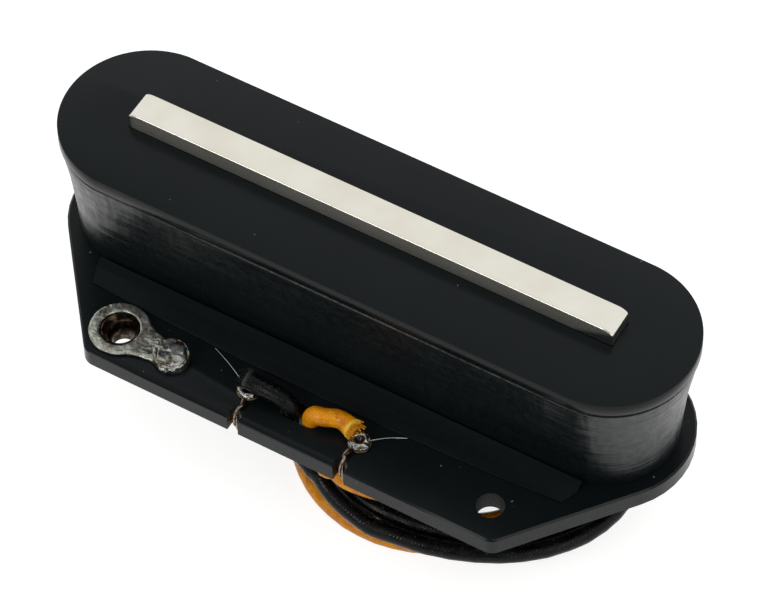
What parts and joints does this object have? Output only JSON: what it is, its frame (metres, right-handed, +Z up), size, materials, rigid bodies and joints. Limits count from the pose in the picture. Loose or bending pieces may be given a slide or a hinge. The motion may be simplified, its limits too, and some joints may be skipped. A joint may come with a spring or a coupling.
{
  "type": "guitar pickup",
  "caption": "Single-coil bridge pickup for an electric guitar, with one steel blade in black fibre flatwork, a taped coil, a ground lug and two cloth-covered leads.",
  "frame": {"origin": "on the underside of the base sheet, under the middle of the blade, where the three hanging screws' plane meets the coil's axis", "axes": "+X along the blade, +Y towards the single rear screw hole, +Z up towards the strings"},
  "size_m": [0.0694, 0.0361, 0.0294],
  "materials": {
    "fibre": "black vulcanised fibre, satin",
    "blade_steel": "ground and polished steel",
    "ferrite": "bare dark grey ferrite",
    "paper": "varnished insulating paper",
    "copper": "enamelled copper wire",
    "tape": "black coil tape, semi-gloss, with faint wrap lines",
    "tinned_metal": "tinned, dull grey with brighter rims",
    "brass": "dull brass, stained by flux",
    "solder": "bright solder, uneven",
    "black_cloth": "waxed black cotton braid",
    "yellow_cloth": "waxed yellow cotton braid"
  },
  "bodies": {
    "root": {"top_flatwork": "fibre", "base_flatwork": "fibre", "blade": "blade_steel", "front_bar_magnet": "ferrite", "rear_bar_magnet": "ferrite", "core_insulation": "paper", "coil_winding": "copper", "coil_tape": "tape", "foot_tape": "tape", "ground_lug": "tinned_metal", "lug_bush": "brass", "lug_solder": "solder", "left_eyelet": "brass", "right_eyelet": "brass", "left_solder_joint": "solder", "right_solder_joint": "solder", "coil_start_wire": "copper", "coil_finish_wire": "copper", "black_lead_stub": "black_cloth", "black_lead_core": "tinned_metal", "black_lead_run": "black_cloth", "black_lead_coil": "black_cloth", "black_lead_tail": "black_cloth", "black_lead_tip": "tinned_metal", "yellow_lead_stub": "yellow_cloth", "yellow_lead_core": "tinned_metal", "yellow_lead_run": "yellow_cloth", "yellow_lead_coil": "yellow_cloth", "yellow_lead_tail": "yellow_cloth", "yellow_lead_tip": "tinned_metal"}
  },
  "joints": []
}
